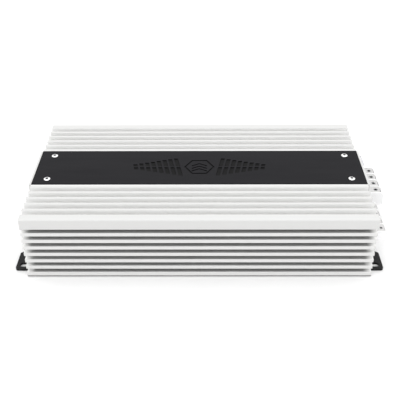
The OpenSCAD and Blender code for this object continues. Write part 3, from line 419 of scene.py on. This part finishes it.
MAKERS = {
    "heatsink_paint": heatsink_paint,
    "cover_black": cover_black,
    "sheet_black": lambda: plain("sheet_black", (0.006, 0.006, 0.0065), 0.5, grain=2600, gloss=0.2),
    "plate_screw": plate_screw,
    "panel_silver": lambda: plain("panel_silver", (0.55, 0.55, 0.545), 0.42, spread=0.02),
    "print_dark": lambda: plain("print_dark", (0.03, 0.03, 0.035), 0.5),
    "print_white": lambda: plain("print_white", (0.8, 0.8, 0.8), 0.5),
    "bright_screw": lambda: plain("bright_screw", (0.85, 0.85, 0.85), 0.18, 1.0),
    "black_screw": lambda: plain("black_screw", (0.02, 0.02, 0.02), 0.35, 0.6),
    "set_screw": lambda: set_screw("set_screw", "power_clamp_screw_1"),
    "speaker_set_screw": lambda: set_screw("speaker_set_screw", "speaker_clamp_screw_1"),
    "clear_plastic": lambda: clear_plastic("clear_plastic", (0.9, 0.9, 0.905), 0.4, 0.1),
    "nickel": lambda: contact_plate("nickel", "power_terminal_contacts", "power_wire", 2 * MM),
    "speaker_nickel": lambda: contact_plate(
        "speaker_nickel", "speaker_terminal_contacts", "speaker_wire", 1 * MM),
    "tin": lambda: plain("tin", (0.7, 0.7, 0.7), 0.35, 1.0),
    "fuse_clear": lambda: clear_plastic("fuse_clear", (0.9, 0.9, 0.95), 0.15, 0.85),
    "black_plastic": lambda: plain("black_plastic", (0.015, 0.015, 0.015), 0.5),
    "gold": lambda: plain("gold", (0.9, 0.66, 0.28), 0.22, 1.0),
    "white_plastic": lambda: plain("white_plastic", (0.8, 0.8, 0.78), 0.35),
    "red_plastic": lambda: plain("red_plastic", (0.5, 0.02, 0.02), 0.35),
    "pot_grey": lambda: plain("pot_grey", (0.09, 0.11, 0.13), 0.5),
    "knob_black": lambda: plain("knob_black", (0.02, 0.02, 0.021), 0.45),
    "led_lens": lambda: clear_plastic("led_lens", (0.6, 0.75, 1.0), 0.1, 0.9),
    "board_green": lambda: plain("board_green", (0.02, 0.13, 0.05), 0.35),
    "board_blue": lambda: plain("board_blue", (0.02, 0.1, 0.16), 0.35),
    "brass": lambda: plain("brass", (0.7, 0.52, 0.25), 0.3, 1.0),
    "ferrite": lambda: plain("ferrite", (0.05, 0.06, 0.05), 0.6),
    "iron_powder": lambda: plain("iron_powder", (0.5, 0.45, 0.08), 0.5),
    "copper_wire": lambda: plain("copper_wire", (0.6, 0.26, 0.1), 0.3, 0.9),
    "capacitor_sleeve": lambda: plain("capacitor_sleeve", (0.03, 0.05, 0.12), 0.35),
    "package_black": lambda: plain("package_black", (0.02, 0.02, 0.02), 0.5),
    "pad_grey": lambda: plain("pad_grey", (0.45, 0.45, 0.45), 0.7),
    "steel_bar": lambda: plain("steel_bar", (0.5, 0.52, 0.55), 0.35, 1.0),
}


def paint_nodes():
    """Gives every CAD node the material of its slot in the record."""
    for part in frame["record"]["subparts"]:
        slot = part["material_slot"]
        if part["node"].startswith("speaker_") and "speaker_" + slot in MAKERS:
            slot = "speaker_" + slot
        mesh = NODES[part["node"]].data
        mesh.materials.clear()
        mesh.materials.append(material(slot))


def material(slot):
    """The material of a slot, made when first asked for."""
    if slot not in MADE:
        MADE[slot] = MAKERS[slot]()
    return MADE[slot]


# ---------- pieces ----------

def add_piece(name, mesh, slot, body, replaces=None):
    """Puts a mesh in the scene on its body, in place of a CAD node if one is named."""
    mesh.materials.append(material(slot))
    piece = bpy.data.objects.new(name, mesh)
    scene.collection.objects.link(piece)
    if replaces:
        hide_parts(replaces)
    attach(piece, body)
    return piece


def ring(bm, place, radius, height, count):
    """One ring of vertices; radius is a number or a function of the angle."""
    verts = []
    for i in range(count):
        angle = math.tau * i / count
        r = radius(angle) if callable(radius) else radius
        verts.append(bm.verts.new(place @ Vector((r * math.cos(angle), r * math.sin(angle), height))))
    return verts


def lathe(bm, place, rings, count, sharp_from=math.inf):
    """Skins a stack of rings, given as (radius, height), smooth below the level sharp_from."""
    made = [ring(bm, place, radius, height, count) for radius, height in rings]
    bm.faces.new(made[0][::-1])
    for level, (a, b) in enumerate(zip(made, made[1:])):
        for i in range(count):
            j = (i + 1) % count
            face = bm.faces.new((a[i], a[j], b[j], b[i]))
            face.smooth = level < sharp_from
    bm.faces.new(made[-1])


def new_mesh(name, bm):
    """Turns the gathered faces into a mesh with its normals outwards."""
    bmesh.ops.recalc_face_normals(bm, faces=bm.faces)
    mesh = bpy.data.meshes.new(name)
    bm.to_mesh(mesh)
    bm.free()
    return mesh


def hexagon(apothem):
    """Radius of a hexagon as a function of the angle."""
    sixth = math.tau / 6
    return lambda angle: apothem / math.cos((angle + sixth / 2) % sixth - sixth / 2)


def add_plate_screws():
    """Polished button heads with a rolled rim, a domed top and a hexagon socket."""
    low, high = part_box("top_plate_screws")
    plate_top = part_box("top_plate")[1].z
    axis = plate_screw_axis()
    head_h = high.z - plate_top
    shank_r, rim_r = 1.45 * MM, 1.25 * MM
    socket = hexagon(1.0 * MM)
    rings = [(shank_r, low.z - plate_top), (shank_r, 0), (SCREW_HEAD_R * 0.96, 0)]
    for degrees in (0, 12, 24, 36, 48, 58):
        angle = math.radians(degrees)
        dome_h = head_h * (0.2 + 0.78 * math.sin(angle) ** 1.1)
        rings.append((SCREW_HEAD_R * math.cos(angle), dome_h))
    rings += [(rim_r, head_h), (socket, head_h * 0.97), (socket, head_h * 0.3)]
    bm = bmesh.new()
    for sx in (-1, 1):
        for sy in (-1, 1):
            spot = Vector((sx * axis.x, sy * axis.y, plate_top))
            lathe(bm, Matrix.Translation(spot), rings, 48, sharp_from=len(rings) - 3)
    add_piece("plate_screws", new_mesh("plate_screws", bm), "plate_screw", "chassis", "top_plate_screws")


def add_knob(name, body):
    """Fluted control knob with a domed front and a white pointer line."""
    low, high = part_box(name)
    center = (low + high) / 2
    radius = (high.y - low.y) / 2
    shaft_r = 3 * MM
    head_l = 5 * MM
    flutes, flute_depth = 18, 0.035

    def fluted(r):
        return lambda angle: r * (1 - flute_depth * (1 - math.cos(flutes * angle)))

    rings = [(shaft_r, high.x - low.x), (shaft_r, head_l), (fluted(radius), head_l),
             (fluted(radius), 0.9 * MM), (fluted(radius * 0.985), 0.5 * MM),
             (radius * 0.84, 0.15 * MM), (radius * 0.6, 0.0), (radius * 0.3, 0.12 * MM)]
    inward = Matrix.Translation((low.x, center.y, center.z)) @ Matrix.Rotation(math.radians(90), 4, "Y")
    bm = bmesh.new()
    lathe(bm, inward, rings, 8 * flutes)
    add_piece(name + "_fluted", new_mesh(name + "_fluted", bm), "knob_black", body, name)
    bm = bmesh.new()
    add_stroke(bm, low.x - PRINT_T, center, 0.0, 0.9 * MM, radius * 0.82, 0.35 * MM, 0.5 * MM)
    add_piece(name + "_pointer", new_mesh(name + "_pointer", bm), "print_white", body)


def add_stroke(bm, x, center, angle, near, far, half_w, depth):
    """Flat bar facing -X that points away from a centre at an angle from +Z, as a thin solid."""
    away = Vector((0, math.sin(angle), math.cos(angle)))
    across = Vector((0, away.z, -away.y))
    middle = Vector((x, center.y, center.z))
    corners = [middle + away * r + across * w for r, w in
               ((near, -half_w), (near, half_w), (far, half_w), (far, -half_w))]
    front = [bm.verts.new(c) for c in corners]
    back = [bm.verts.new(c + Vector((depth, 0, 0))) for c in corners]
    bm.faces.new(front)
    bm.faces.new(back[::-1])
    for i in range(4):
        j = (i + 1) % 4
        bm.faces.new((front[i], front[j], back[j], back[i]))


def add_dial_marks():
    """Printed ticks round each knob from stop to stop, longer at both ends and in the middle."""
    face_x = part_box("left_end_panel")[0].x - PRINT_T
    ticks, sweep = 11, 300
    long_tick, short_tick, half_w = 0.8 * MM, 0.45 * MM, 0.13 * MM
    bm = bmesh.new()
    for knob in KNOBS:
        low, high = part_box(knob)
        center = (low + high) / 2
        near = (high.y - low.y) / 2 + 0.7 * MM
        for i in range(ticks):
            angle = math.radians(sweep * (i / (ticks - 1) - 0.5))
            reach = long_tick if i in (0, ticks // 2, ticks - 1) else short_tick
            add_stroke(bm, face_x, center, angle, near, near + reach, half_w, 2 * PRINT_T)
    add_piece("dial_marks", new_mesh("dial_marks", bm), "print_dark", "chassis")


add_camera()
add_stage()
add_lights()
paint_nodes()
add_plate_screws()
for knob, body in KNOBS.items():
    add_knob(knob, body)
add_dial_marks()
